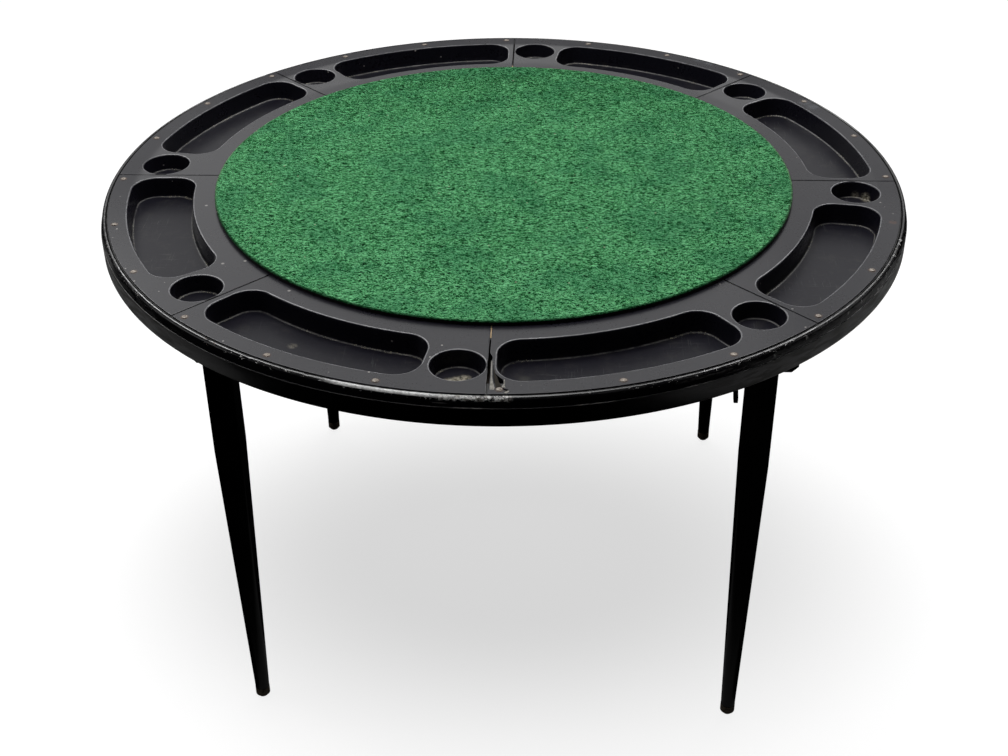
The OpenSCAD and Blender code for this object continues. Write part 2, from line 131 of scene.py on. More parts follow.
# %% [markdown]
# ## Camera
# The camera stands in front of the table and looks down on it at 33 degrees. Its place was worked out from what the
# photograph shows of the round rim, the eight seams and the four feet, so the same lens at the same spot gives the
# same picture. The turn of the camera is built from plain rotations, which keeps each angle readable.

# %% Place the camera
CAMERA_AT = Vector((0.0816, -2.0982, 1.7600))
CAMERA_YAW = 2.285
CAMERA_PITCH = 33.318
CAMERA_ROLL = -0.512
CAMERA_LENS = 53.385

camera_data = bpy.data.cameras.new("camera")
camera_data.sensor_width = 36
camera_data.lens = CAMERA_LENS
camera = bpy.data.objects.new("camera", camera_data)
bpy.context.scene.collection.objects.link(camera)
camera.matrix_world = (
    Matrix.Translation(CAMERA_AT)
    @ Matrix.Rotation(math.radians(CAMERA_YAW), 4, "Z")
    @ Matrix.Rotation(math.radians(90 - CAMERA_PITCH), 4, "X")
    @ Matrix.Rotation(math.radians(CAMERA_ROLL), 4, "Z")
)
bpy.context.scene.camera = camera
print("camera looks along", [round(x, 3) for x in -camera.matrix_world.col[2].xyz])


# %% [markdown]
# ## Studio
# A white room makes a clean picture, but black gloss shows whatever it mirrors. In a room that is white on every side
# the black legs would turn grey. So the white air is shown to the camera alone, and the light comes from wide lamp
# panels. The largest hangs behind the table, where the flat plastic mirrors it as an even grey; one overhead
# lights the carpet. Five more are seen by gloss alone: two bright strips, turned to follow the curve of the rim, draw
# the line of light along its left and its right, and three faint cards on the floor show in the paint that turns
# sideways.

# %% Build the studio
def panel(name, at, towards, width, depth, brightness, turn=0):
    """A soft lamp at one point that faces another, turned in its plane by some degrees. White has brightness 1."""
    data = bpy.data.lights.new(name, "AREA")
    data.shape = "RECTANGLE"
    data.size = width
    data.size_y = depth
    data.energy = brightness * math.pi * width * depth
    lamp = bpy.data.objects.new(name, data)
    lamp.location = at
    facing = (Vector(towards) - Vector(at)).to_track_quat("-Z", "Y")
    lamp.rotation_euler = (facing @ Quaternion((0, 0, 1), math.radians(turn))).to_euler()
    bpy.context.scene.collection.objects.link(lamp)
    return lamp


panel("back_panel", (0.0, 5.2, 3.8), (0.0, 0.0, 0.7), 10.0, 4.6, 0.82)
panel("ceiling_panel", (-0.2, 0.2, 3.3), (0.0, 0.0, 0.7), 2.2, 1.8, 4.8)
panel("left_panel", (-4.4, -0.3, 2.2), (0.0, 0.0, 0.7), 2.6, 1.6, 0.6)
panel("right_panel", (4.6, 0.6, 2.2), (0.0, 0.0, 0.7), 2.2, 1.4, 0.6)
cards = [
    panel("left_gleam", (-2.15, 2.05, 3.3), (-2.15, 2.05, 0.0), 3.4, 1.0, 8.5, turn=-54),
    panel("right_gleam", (1.70, 1.65, 3.3), (1.70, 1.65, 0.0), 2.2, 1.0, 9.0, turn=53),
    panel("left_floor_card", (-1.45, 0.3, 0.002), (-1.45, 0.3, 1.0), 0.9, 1.8, 0.18),
    panel("right_floor_card", (2.0, -0.1, 0.002), (2.0, -0.1, 1.0), 2.2, 2.4, 0.24),
    panel("middle_floor_card", (0.0, -0.42, 0.002), (0.0, -0.42, 1.0), 0.8, 0.34, 0.07),
]
for card in cards:
    card.visible_camera = False
    card.visible_diffuse = False

world = bpy.data.worlds.new("studio_air")
bpy.context.scene.world = world
world.use_nodes = True
air = world.node_tree.nodes["Background"]
air.inputs["Color"].default_value = (1.0, 1.0, 1.0, 1.0)
air.inputs["Strength"].default_value = 1.0
world.cycles_visibility.diffuse = False
world.cycles_visibility.glossy = False
bpy.context.scene.view_settings.view_transform = "Standard"


# %% [markdown]
# ## Shader arithmetic
# Wear, dirt and grain are sums: take a noise, cut it at a level, keep it near an edge. Written as nodes, such sums
# sprawl. The small class below wraps one socket, so that an ordinary Python expression adds the Math nodes by itself.
# A second class holds one finish while it is being built. Its method `add` makes any other node, and a few patterns
# that return often have a method of their own. Every pattern reads the place of a point on the piece in millimetres.

# %% A socket that can be added, multiplied and compared
def maths(operation, turned=False):
    """A method that adds one Math node. turned is for 1 - mask, where the socket comes second."""

    def method(self, other=None):
        return self.maths_node(operation, *((other, self) if turned else (self, other)))

    return method


class Level:
    """One number of a finish, which may change from point to point."""

    def __init__(self, finish, socket):
        self.finish = finish
        self.socket = socket

    def maths_node(self, operation, *values):
        values = [v for v in values if v is not None]
        return self.finish.add("Math", {"operation": operation}, dict(enumerate(values)))

    __add__ = __radd__ = maths("ADD")
    __sub__ = maths("SUBTRACT")
    __rsub__ = maths("SUBTRACT", turned=True)
    __mul__ = __rmul__ = maths("MULTIPLY")
    __truediv__ = maths("DIVIDE")
    __pow__ = maths("POWER")
    __abs__ = maths("ABSOLUTE")
    lowest = maths("MINIMUM")
    highest = maths("MAXIMUM")

    def wrapped(self, low, high):
        """The same number folded back into the range from low to high, as an angle is after a full turn."""
        return self.maths_node("WRAP", self, high, low)

    def ramp(self, low, high):
        """0 below low and 1 above high, with a soft step between; turned round where low is above high."""
        if low > high:
            return 1 - self.ramp(high, low)
        settings = {"interpolation_type": "SMOOTHSTEP"}
        return self.finish.add("MapRange", settings, {"Value": self, "From Min": low, "From Max": high})


def strongest(masks):
    """The highest of several masks at each point."""
    return functools.reduce(Level.highest, masks)


# %% A finish under construction
class Finish:
    """A material and the patterns that it is made from."""

    def __init__(self, name):
        self.material = bpy.data.materials.new(name)
        self.material.use_nodes = True
        self.tree = self.material.node_tree
        self.tree.nodes.clear()
        here = self.add("TexCoord", out="Object")
        self.place = self.add("VectorMath", {"operation": "SCALE"}, {0: here, "Scale": 1 / MM})
        self.x, self.y, self.z = (self.add("SeparateXYZ", {}, {0: self.place}, out=i) for i in range(3))

    def add(self, kind, settings=None, inputs=None, out=0):
        """Any node: its settings first, then the value or link of each socket. Gives back one output if it has any."""
        node = self.tree.nodes.new("ShaderNode" + kind)
        for key, value in (settings or {}).items():
            if key == "stops":
                self._set_stops(node.color_ramp, value)
            else:
                setattr(node, key, value)
        for key, value in (inputs or {}).items():
            if isinstance(value, Level):
                self.tree.links.new(value.socket, node.inputs[key])
            else:
                node.inputs[key].default_value = value
        return Level(self, node.outputs[out]) if node.outputs else None

    @staticmethod
    def _set_stops(ramp, stops):
        while len(ramp.elements) < len(stops):
            ramp.elements.new(1.0)
        for element, (position, colour) in zip(ramp.elements, stops):
            element.position = position
            element.color = (*colour, 1.0)

    def cloud(self, size, detail=3.0, rough=0.55, stretch=(1, 1, 1), shift=0.0, warp=0.0):
        """Soft noise with patches of about size millimetres, longer along the axes whose stretch is large."""
        scale = tuple(1 / (size * s) for s in stretch)
        place = self.add("Mapping", {}, {"Vector": self.place, "Scale": scale, "Location": (shift, shift, shift)})
        values = {"Vector": place, "Scale": 1.0, "Detail": detail, "Roughness": rough, "Distortion": warp}
        return self.add("TexNoise", {}, values, out="Fac")

    def cells(self, size):
        """Grains of about size millimetres: how far a point is from the middle of its grain."""
        place = self.add("Mapping", {}, {"Vector": self.place, "Scale": (1 / size,) * 3})
        values = {"Vector": place, "Scale": 1.0, "Randomness": 1.0}
        return self.add("TexVoronoi", {"feature": "F1"}, values, out="Distance")

    def blend(self, share, below, above):
        """One colour where the share is 0, the other where it is 1."""
        settings = {"data_type": "RGBA"}
        colours = {6: self._colour(below), 7: self._colour(above)}
        return self.add("Mix", settings, {0: share, **colours}, out=2)

    def coated(self, colour, *coats):
        """A colour under one coat after another. Each coat is its share and its own colour."""
        for share, coat in coats:
            colour = self.blend(share, colour, coat)
        return colour

    @staticmethod
    def _colour(value):
        return value if isinstance(value, Level) else (*value, 1.0)

    def bump(self, height, depth, under=None):
        """A relief of the given depth in millimetres, over another relief if there is one."""
        values = {"Height": height, "Distance": depth * MM, "Strength": 1.0}
        if under:
            values["Normal"] = under
        return self.add("Bump", {}, values)

    def surface(self, colour, rough, relief=None, **fixed):
        """Closes the finish. fixed holds what is the same all over, such as Metallic=1.0."""
        inputs = {"Base Color": self._colour(colour), "Roughness": rough}
        if relief:
            inputs["Normal"] = relief
        inputs.update({key.replace("_", " "): value for key, value in fixed.items()})
        self.add("OutputMaterial", {}, {"Surface": self.add("BsdfPrincipled", {}, inputs)})
        return self.material

    def carried(self, name):
        """A number that the mesh itself carries from point to point."""
        return self.add("Attribute", {"attribute_name": name}, out="Fac")

    def reach(self):
        """How far a point is from the table's axis, seen from above."""
        return (self.x * self.x + self.y * self.y) ** 0.5

    def heading(self):
        """The direction of a point from the table's axis, in degrees from 0 to 360, counted from +X towards +Y."""
        turn = self.add("Math", {"operation": "ARCTAN2"}, {0: self.y * -1, 1: self.x * -1})
        return turn * math.degrees(1) + 180

    def near(self, spots, size):
        """1 at any of the given spots and 0 from size millimetres away; a spot is a point in millimetres."""
        kind = {"operation": "DISTANCE"}
        away = [self.add("VectorMath", kind, {0: self.place, 1: spot}, out="Value") for spot in spots]
        return strongest(distance.ramp(size, size * 0.2) for distance in away)


print("finishes will be built on", bpy.app.version_string)


# %% [markdown]
# ## From a mesh under construction to a finished piece
# All new pieces are drawn in millimetres with bmesh operators and end in the same way: scaled to metres, given a
# finish, smoothed except at sharp edges, and tied to the body that carries them. The open edges of a sheet count as
# sharp, because its thickness is added later and would otherwise bend the light on the flat face beside them.

# %% Finish a piece
def finished(bm, name, body, finish, stands_for=(), sharp=35):
    """Turns a bmesh drawn in millimetres into an object in metres that rides on a body of the frame."""
    bmesh.ops.scale(bm, vec=(MM, MM, MM), verts=bm.verts)
    mesh = bpy.data.meshes.new(name)
    bm.edges.index_update()
    open_edges = [e.index for e in bm.edges if e.is_boundary]
    bm.to_mesh(mesh)
    bm.free()
    mesh.polygons.foreach_set("use_smooth", [True] * len(mesh.polygons))
    mesh.set_sharp_from_angle(angle=math.radians(sharp))
    for i in open_edges:
        mesh.edges[i].use_edge_sharp = True
    mesh.materials.append(finish)
    piece = bpy.data.objects.new(name, mesh)
    bpy.context.scene.collection.objects.link(piece)
    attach(piece, body)
    if stands_for:
        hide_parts(*stands_for)
    return piece


def heading(angle, reach=1.0, height=0.0):
    """The point at an angle in degrees round the table's axis."""
    turn = math.radians(angle)
    return Vector((reach * math.cos(turn), reach * math.sin(turn), height))


def spun(bm, pen, centre, angle, steps):
    """Spins one point about a centre, which draws an arc of edges, and gives the last point."""
    turn = math.radians(angle)
    made = bmesh.ops.spin(
        bm, geom=[pen], cent=centre, axis=UP, angle=turn, steps=steps, use_merge=False, use_duplicate=False
    )
    return next(v for v in made["geom_last"] if isinstance(v, bmesh.types.BMVert))


def drawn_to(bm, pen, point):
    """Draws a straight edge from the last point and gives the new last point."""
    made = bmesh.ops.extrude_vert_indiv(bm, verts=[pen])
    made["verts"][0].co = point
    return made["verts"][0]


def face_within(bm, edges):
    """Closes a loop of edges with one face that looks up."""
    bmesh.ops.remove_doubles(bm, verts=list({v for e in edges for v in e.verts}), dist=0.01)
    edges = [e for e in edges if e.is_valid]
    face = bmesh.ops.contextual_create(bm, geom=edges)["faces"][0]
    face.normal_update()
    if face.normal.z < 0:
        face.normal_flip()
    return face


def sunk(bm, face, steps):
    """Insets a face again and again. Each step says how far its edge moves in, how far it goes down, and the crease
    there, which is 1 on a lip, -1 in a foot and 0 on a flat."""
    crease = bm.verts.layers.float["crease"]
    for inwards, down, bend in steps:
        bmesh.ops.inset_region(
            bm, faces=[face], use_boundary=True, use_even_offset=True, thickness=inwards, depth=-down
        )
        for v in face.verts:
            v[crease] = bend
    return face


print("outline helpers ready")

# %% [markdown]
# ## Moulded plastic
# Each segment of the ring is a sheet of black plastic that was drawn down over a mould while it was hot. Such a sheet
# has soft lips, walls that lean, and a satin skin. In a broken corner the sheet went pale where it bent before it tore,
# and beside the pale strip a black strip is painted shade, where the torn edge leaves a gap. Those colours are narrow
# strips beside the seam, drawn by their outlines, because no noise would put them in the right place.

# %% Colours of the broken corner
def beside_seam(f, strips):
    """A mask for strips beside the front seam. Each row of a strip gives a distance from the table's axis and the
    strip's two sides there, as distances from the seam; between two rows the sides run straight."""
    inside = []
    for rows in strips:
        for (r0, left0, right0), (r1, left1, right1) in zip(rows, rows[1:]):
            down = (f.y * -1 - r0) / (r1 - r0)
            ends = down.ramp(-0.02, 0.02) * down.ramp(1.02, 0.98)
            left = (f.x - (left0 + (left1 - left0) * down)).ramp(-0.35, 0.35)
            right = ((right0 + (right1 - right0) * down) - f.x).ramp(-0.35, 0.35)
            inside.append(ends * left * right)
    return strongest(inside)


PALE_STRIPS = [
    [(524, 3.2, 4.3), (543, 3.5, 4.9), (561, 3.8, 5.5), (574, 3.8, 7.4), (585, 3.4, 9.6), (589, 3.8, 8.8)],
    [(566, 20.0, 21.2), (575, 20.7, 21.9), (580, 18.6, 21.5), (584, 18.0, 23.0)],
    [(591.0, 25.0, 28.0), (596.4, 20.5, 25.0)],
]
BROWN_STRIPS = [
    [(545, 6.6, 8.4), (552, 6.8, 9.0), (563, 8.0, 12.4), (574, 9.4, 15.2), (581, 10.4, 18.4), (588, 11, 19)],
]
# Painted shade: a black strip for the gap beside the torn edge.
GAP_SHADE_STRIPS = [[(534, 5.6, 6.6), (560, 6.6, 8.2), (575, 8.4, 9.8)]]
print("strips beside the front seam:", len(PALE_STRIPS + BROWN_STRIPS + GAP_SHADE_STRIPS))

# %% [markdown]
# Years of play left rubbed lips, scratches on the floors of the trays and dust in the corners; the light line along
# each lip is partly that rubbing and partly a painted highlight. What spreads by chance is noise. What has a place,
# such as the crumbs in a cup or a bruise, is a list of points in millimetres. The flat skin was polished by sleeves,
# which a clear coat shows, and the trays and the back of the ring stayed dull.

# %% Where the plastic is dirty or bruised
CUP_DIRT_Z = 727
CRUMBS = [(-50, -536), (-40, -532), (-31, -529), (542, 0), (557, -13), (-262, -446)]
CRUMBS_AT = [(x, y, CUP_DIRT_Z) for x, y in CRUMBS]
STAIN_AT = [(45, -517, RING_TOP - TRAY_DEPTH)]
BRUISES_AT = [(x, y, RING_TOP) for x, y in [(503, 303), (514, 285), (339, 495), (356, 481)]]
FLECKS = [(-441.6, -103.6), (-382.5, -281.3), (-352.5, -273.2), (-278.0, -354.9)]
FLECKS_AT = [(x, y, RING_TOP) for x, y in FLECKS]
print("places of crumbs:", len(CRUMBS_AT), "of bruises:", len(BRUISES_AT), "of flecks:", len(FLECKS_AT))


# %% Scratches, rust and polish of the plastic
def scratched_skin(f):
    """Fine scratches in two directions, in patches."""
    along = f.cloud(1.6, rough=0.7, stretch=(1, 26, 1), warp=0.5).ramp(0.60, 0.70)
    across = f.cloud(1.5, rough=0.7, stretch=(30, 1, 1), shift=7.0, warp=0.5).ramp(0.61, 0.71)
    return along.highest(across) * f.cloud(70, detail=2).ramp(0.42, 0.66)


def nail_rust(f):
    """A broken ring of rust round each nail head."""
    beside = (f.heading() - NAIL_A0).wrapped(-NAIL_A / 2, NAIL_A / 2) * math.radians(NAIL_R)
    away = (beside ** 2 + (f.reach() - NAIL_R) ** 2) ** 0.5
    return away.ramp(7.0, 4.2) * f.cloud(3, detail=4).ramp(0.30, 0.50)


def polish_left(f, torn):
    """How much polish is left: least at the back, on the right, in the hollows and where the sheet tore."""
    outside = f.reach().ramp(560, 574) * (0.65 * f.y.ramp(-350, 0) + 0.35 * f.y.ramp(200, 430))
    right_side = 0.5 * f.x.ramp(300, 430) * f.y.ramp(330, 200)
    deep = f.z.ramp(RING_TOP - 2.5, RING_TOP - 6)
    hollow = deep * (0.88 - 0.35 * f.y.ramp(0, 400) + 0.22 * f.y.ramp(330, 460))
    inside = 0.36 * f.reach().ramp(482, 466) * f.y.ramp(60, 380)
    return 0.72 * (1 - strongest([outside, right_side, hollow, inside, torn]))


# %% Finish of the plastic
def moulded_plastic():
    f = Finish("moulded_plastic")
    crease = f.carried("crease")
    floor_z = RING_TOP - CUP_DEPTH + 1.2
    on_floor = f.z.ramp(floor_z, floor_z - 1.5)
    mottle = f.cloud(5, detail=5, rough=0.75)
    scuffs = f.cloud(26, detail=6, rough=0.7).ramp(0.50, 0.74)
    scratched = scratched_skin(f)
    # The light line along the lips: partly rubbed wear, partly a painted highlight.
    lip = crease.ramp(0.45, 0.95) * (0.5 + 0.5 * f.cloud(18, detail=5, rough=0.65).ramp(0.38, 0.62))
    foot = crease.ramp(-0.25, -0.95) * f.cloud(24, detail=5, rough=0.7).ramp(0.30, 0.66)
    rust = nail_rust(f) * crease.ramp(0.2, 0.1) * (1 - on_floor)
    stain = f.near(STAIN_AT, 10)
    crumbs = f.near(CRUMBS_AT, 12) * f.cloud(3.5, detail=5, rough=0.7, stretch=(2.0, 1, 1)).ramp(0.34, 0.46)
    bruises = f.near(BRUISES_AT, 15) * f.cloud(3, detail=6, rough=0.75, stretch=(2.5, 1, 1)).ramp(0.40, 0.56)
    dust = f.cells(2.4).ramp(0.34, 0.20) * crease.ramp(-0.05, -0.4) * f.cloud(50).ramp(0.46, 0.60)
    specks = f.cells(21).ramp(0.085, 0.05) * f.cloud(60, detail=2).ramp(0.52, 0.58)
    specks = specks.highest(f.near(FLECKS_AT, 3.2))
    dent = f.near([heading(HEADLESS, NAIL_R, RING_TOP)], 3.6)
    pale, brown, dark = (beside_seam(f, strips) for strips in (PALE_STRIPS, BROWN_STRIPS, GAP_SHADE_STRIPS))
    torn = strongest([pale, brown, dark])

    colour = f.coated(
        f.blend(mottle, (0.004, 0.004, 0.007), (0.014, 0.013, 0.021)),
        ((on_floor * (scuffs * 0.3 + stain * 0.6)).lowest(1), (0.050, 0.047, 0.043)),
        (scratched * (0.15 + 0.45 * on_floor), (0.11, 0.11, 0.11)),
        (bruises * 0.7, (0.10, 0.11, 0.125)),
        (lip * 0.48, (0.42, 0.42, 0.44)),
        (foot * 0.55, (0.24, 0.235, 0.22)),
        (dust, (0.42, 0.39, 0.28)),
        (rust * 0.9, (0.065, 0.032, 0.022)),
        (brown * 0.9, f.blend(mottle, (0.008, 0.006, 0.003), (0.030, 0.023, 0.013))),
        # Painted shade of the gap beside the torn strip.
        (dark, (0.002, 0.002, 0.002)),
        (pale * 0.95, f.blend(mottle.ramp(0.3, 0.7), (0.20, 0.19, 0.165), (0.42, 0.40, 0.36))),
        (crumbs, f.blend(mottle.ramp(0.4, 0.6), (0.10, 0.09, 0.06), (0.50, 0.46, 0.37))),
        (specks * (1 - on_floor) * 0.8, (0.40, 0.38, 0.36)),
        (dent * 0.8, (0.010, 0.008, 0.008)),
    )

    rough = 0.18 + 0.12 * f.cloud(40, detail=4) + 0.10 * mottle + 0.08 * on_floor + 0.10 * scratched + 0.5 * torn
    waves = f.bump(f.cloud(120, detail=1), 0.9)
    grain = f.bump(f.cloud(1.6, detail=2), 0.05, under=waves)
    relief = f.bump(scratched, -0.02, under=grain)
    relief = f.bump(crumbs - 0.8 * dent, 0.8, under=relief)
    polish = polish_left(f, torn)
    return f.surface(colour, rough, relief, Coat_Weight=polish, Coat_Roughness=0.26, Specular_IOR_Level=0.13)


PLASTIC = moulded_plastic()
print("finish:", PLASTIC.name)


# %% [markdown]
# A segment is drawn the way that a pattern maker would lay it out. Spinning a point about one centre after another
# draws the outline of a tray. One face closes that outline, and insetting the face again and again, a little
# inwards and a little down, presses the tray into the sheet: first the round lip, then the leaning wall, then the
# round foot of the wall. The cup is a circle that sinks in the same way. What is left of the sheet is filled between
# the loops, and a Solidify modifier gives it the thickness of the plastic.

# %% The section of a pressed hollow
LIP_STEPS = 6
FLANGE_LOOP = 0.8
LIP_CREASE = [0.8, 1.0, 0.9, 0.5, 0.1, 0.0, 0.0]
FOOT_CREASE = [0.0, 0.0, -0.3, -0.9, -1.0, -0.7, -0.2]


def pressed_section(depth):
    """Steps (inwards, down, crease) from the flat sheet over the lip and down the wall to the floor of a hollow."""
    quarter = [math.radians(90 * i / LIP_STEPS) for i in range(LIP_STEPS + 1)]
    lip = [(LIP_R * math.sin(a), LIP_R * (1 - math.cos(a))) for a in quarter]
    foot = [(FLOOR_R * (1 - math.cos(a)), FLOOR_R * math.sin(a)) for a in quarter]
    wall_drop = depth - LIP_R - FLOOR_R
    line = lip + [(LIP_R + WALL_DRAFT / 2, LIP_R + wall_drop / 2)]
    line += [(LIP_R + WALL_DRAFT + x, depth - FLOOR_R + y) for x, y in foot]
    line += [(line[-1][0] + 2, depth)]
    creases = LIP_CREASE + [0.0] + FOOT_CREASE + [0.0]
    steps = [(b[0] - a[0], b[1] - a[1], bend) for a, b, bend in zip(line, line[1:], creases[1:])]
    return [(FLANGE_LOOP, 0.0, creases[0])] + steps


# %% Outlines of a tray, a cup and a whole segment
LONG_STEPS = 40
CORNER_STEPS = 14


def tray_outline(bm, out):
    """The loop round a tray, moved outwards by a distance: two long arcs and four round corners."""
    outer = TRAY_R_OUT - TRAY_CORNER
    inner = TRAY_R_IN + TRAY_CORNER
    a_out = angle_of(TRAY_CORNER, outer)
    a_in = angle_of(TRAY_CORNER, inner)
    corner = TRAY_CORNER + out
    axis = Vector((0, 0, RING_TOP))
    before = set(bm.edges)
    pen = bm.verts.new(heading(TRAY_A0 + a_out, TRAY_R_OUT + out, RING_TOP))
    pen = spun(bm, pen, axis, TRAY_A1 - TRAY_A0 - 2 * a_out, LONG_STEPS)
    pen = spun(bm, pen, heading(TRAY_A1 - a_out, outer, RING_TOP), 90 + a_out, CORNER_STEPS)
    far_corner = heading(TRAY_A1 - a_in, inner, RING_TOP)
    pen = drawn_to(bm, pen, far_corner + heading(TRAY_A1 + 90, corner))
    pen = spun(bm, pen, far_corner, 90 - a_in, CORNER_STEPS)
    pen = spun(bm, pen, axis, TRAY_A0 - TRAY_A1 + 2 * a_in, LONG_STEPS)
    pen = spun(bm, pen, heading(TRAY_A0 + a_in, inner, RING_TOP), 90 - a_in, CORNER_STEPS)
    near_corner = heading(TRAY_A0 + a_out, outer, RING_TOP)
    pen = drawn_to(bm, pen, near_corner + heading(TRAY_A0 - 90, corner))
    spun(bm, pen, near_corner, 90 + a_out, CORNER_STEPS)
    return [e for e in bm.edges if e not in before]


def cup_outline(bm, out):
    """The loop round a cup."""
    place = Matrix.Translation(heading(CUP_A, CUP_CENTRE_R, RING_TOP))
    before = set(bm.edges)
    bmesh.ops.create_circle(bm, segments=72, radius=CUP_R + out, matrix=place)
    return [e for e in bm.edges if e not in before]


def segment_outline(bm, torn):
    """The loop round a whole segment, cut back from each seam by half the seam's width. A torn edge has more points
    (distance from the axis, distance from the seam), from the carpet outwards."""
    at_rim = angle_of(SEAM_W / 2, PLASTIC_R)
    at_carpet = angle_of(SEAM_W / 2, PLASTIC_R_IN)
    before = set(bm.edges)
    start = bm.verts.new(heading(at_rim, PLASTIC_R, RING_TOP))
    pen = spun(bm, start, Vector((0, 0, RING_TOP)), SEGMENT_A - 2 * at_rim, LONG_STEPS)
    pen = drawn_to(bm, pen, heading(SEGMENT_A - at_carpet, PLASTIC_R_IN, RING_TOP))
    pen = spun(bm, pen, Vector((0, 0, RING_TOP)), 2 * at_carpet - SEGMENT_A, LONG_STEPS)
    for reach, away in torn:
        pen = drawn_to(bm, pen, (reach, away, RING_TOP))
    bm.edges.new((pen, start))
    return [e for e in bm.edges if e not in before]


# %% [markdown]
# One segment is damaged. Along the seam nearest to the camera the sheet's edge is torn back, and between the tray's
# corner and the nail two pieces broke out. The edge and the holes are drawn in the segment's own measures: the distance
# from the seam, and the distance from the table's axis.

# %% The broken corner
BROKEN_SEGMENT = 7
TORN_EDGE = [(505.5, 0.7), (511, 3.4), (515.5, 4.5), (520, 4.0), (525, 2.6), (560, 2.9), (586, 2.6), (596, 1.2)]
BREAKS = [
    [(8.9, 551.5), (12.0, 562), (14.8, 573.5), (18.4, 579.5), (20.3, 575), (19.4, 566.5), (15.6, 562), (12.0, 557)],
    [(18.9, 584.2), (21.8, 586.6), (27.0, 588.4), (23.2, 593.4), (20.6, 590.5)],
]


def break_outlines(bm):
    """The loops round the holes in the broken segment. The seam at its start lies along +X here."""
    edges = []
    for points in BREAKS:
        corners = [bm.verts.new((reach, away, RING_TOP)) for away, reach in points]
        edges += [bm.edges.new(pair) for pair in zip(corners, corners[1:] + corners[:1])]
    return edges


# %% Press one segment
EDGE_STEPS = [(0.12, -0.35, 0.0), (0.25, -0.2, 0.3), (0.3, -0.05, 0.5), (0.4, 0.0, 0.0)]


def tray_segment(number):
    """A pressed sheet with its tray and its cup, in the place of one segment of the ring."""
    bm = bmesh.new()
    bm.verts.layers.float.new("crease")
    around = segment_outline(bm, TORN_EDGE if number == BROKEN_SEGMENT else [])
    top_face = sunk(bm, face_within(bm, around), EDGE_STEPS)
    lift = RING_TOP - top_face.calc_center_median().z
    bmesh.ops.translate(bm, vec=(0, 0, lift), verts=bm.verts)
    hole_edges = list(top_face.edges)
    bmesh.ops.delete(bm, geom=[top_face], context="FACES_ONLY")
    for outline, depth in ((tray_outline, TRAY_DEPTH), (cup_outline, CUP_DEPTH)):
        before = set(bm.edges)
        sunk(bm, face_within(bm, outline(bm, FLANGE_LOOP)), pressed_section(depth))
        hole_edges += [e for e in bm.edges if e not in before and e.is_boundary]
    if number == BROKEN_SEGMENT:
        hole_edges += break_outlines(bm)
    bmesh.ops.triangle_fill(bm, use_beauty=True, use_dissolve=False, edges=hole_edges, normal=UP)
    turn = Matrix.Rotation(math.radians((number - 1) * SEGMENT_A), 3, "Z")
    bmesh.ops.rotate(bm, matrix=turn, verts=bm.verts)
    piece = finished(
        bm, f"moulded_segment_{number}", "root", PLASTIC, [f"tray_segment_{number}"], sharp=50
    )
    wall = piece.modifiers.new("sheet", "SOLIDIFY")
    wall.thickness = SHELL_T * MM
    wall.offset = -1
    wall.use_even_offset = True
    wall.use_quality_normals = True
    return piece


segments = [tray_segment(number) for number in range(1, SEGMENTS + 1)]
broken = segments[BROKEN_SEGMENT - 1]
print("faces in one segment:", len(segments[0].data.polygons), "in the broken one:", len(broken.data.polygons))


# %% [markdown]
# ## Rim
# The rim is one long strip of wood, bent into a hoop and painted gloss black. Its top rolls over into a nose, below
# that a band slopes out to a small step, and the face hangs straight down. The paint on the nose has been knocked off
# in flakes, most of all at the front, where a silver band along the nose is partly such wear and partly a painted
# highlight. The section is drawn once as a line of points and spun round the table in fine steps, so that the flakes
# can be pressed into the mesh itself and not only painted on.

# %% Sizes of the hoop's section
STEP = 0.8
SLOPE_H = 14.0
SLOPE_LEAN = 1.9
NOSE_R = 5.0
NOSE_TURN = 79
BEAD = 1.2
STEP_Z = RIM_TOP - SLOPE_H
print(f"the step runs round the hoop at {STEP_Z:.1f} mm")

# %% Where the hoop is worn
WORN_STRETCHES = [(262, 14, 1.0), (246, 14, 0.7), (233.4, 2.2, 1.0), (300, 26, 0.40), (334, 10, 0.85)]
WORN_STRETCHES += [(212, 16, 0.5), (60, 60, 0.25), (140, 40, 0.3)]
# Long marks across the hoop: direction, half length in degrees, height, half height in millimetres, strength.
MARKS = [(268.1, 2.2, 735.8, 0.7, 0.9), (271.9, 0.9, 730.0, 0.5, 0.5), (282.6, 2.8, 735.6, 0.8, 0.55)]
MARKS += [(282.6, 3.4, 713.4, 1.2, 0.40), (295.5, 2.2, 736.0, 0.8, 0.7), (213.0, 17.0, 735.8, 1.3, 0.55)]
MARKS += [(264.5, 1.3, 740.6, 0.8, 0.7), (336.0, 9.0, 741.0, 3.2, 0.45), (333.0, 16.0, 724.0, 6.0, 0.25)]
MARKS += [(296.5, 4.5, 744.0, 2.2, 0.45), (302.0, 3.0, 740.0, 1.6, 0.5), (309.0, 4.0, 738.5, 1.2, 0.45)]
# Small white nicks on the right: direction, distance from the axis, height.
NICKS = [(341.7, 604.5, 748.9), (340.6, 605, 748.5), (337.0, 604.0, 749.1), (332.1, 607.6, 742), (329.0, 608.2, 739)]
NICKS += [(324.0, 607.3, 744.0), (320.7, 607.6, 742.5), (312.0, 607.3, 744.5), (306.5, 608.0, 740.0)]
print("worn stretches:", len(WORN_STRETCHES), "long marks:", len(MARKS), "nicks:", len(NICKS))


def worn_stretches(around):
    """How worn the rim is in each direction: 1 in the middle of the worst stretch."""
    return strongest(abs(around - middle).ramp(half, half * 0.4) * worst for middle, half, worst in WORN_STRETCHES)


def long_marks(f, around):
    """The long marks of wear, each an oblong on the band of the hoop."""
    return strongest(
        abs(around - middle).ramp(half, half * 0.5) * abs(f.z - height).ramp(tall, tall * 0.3) * strength
        for middle, half, height, tall, strength in MARKS
    )


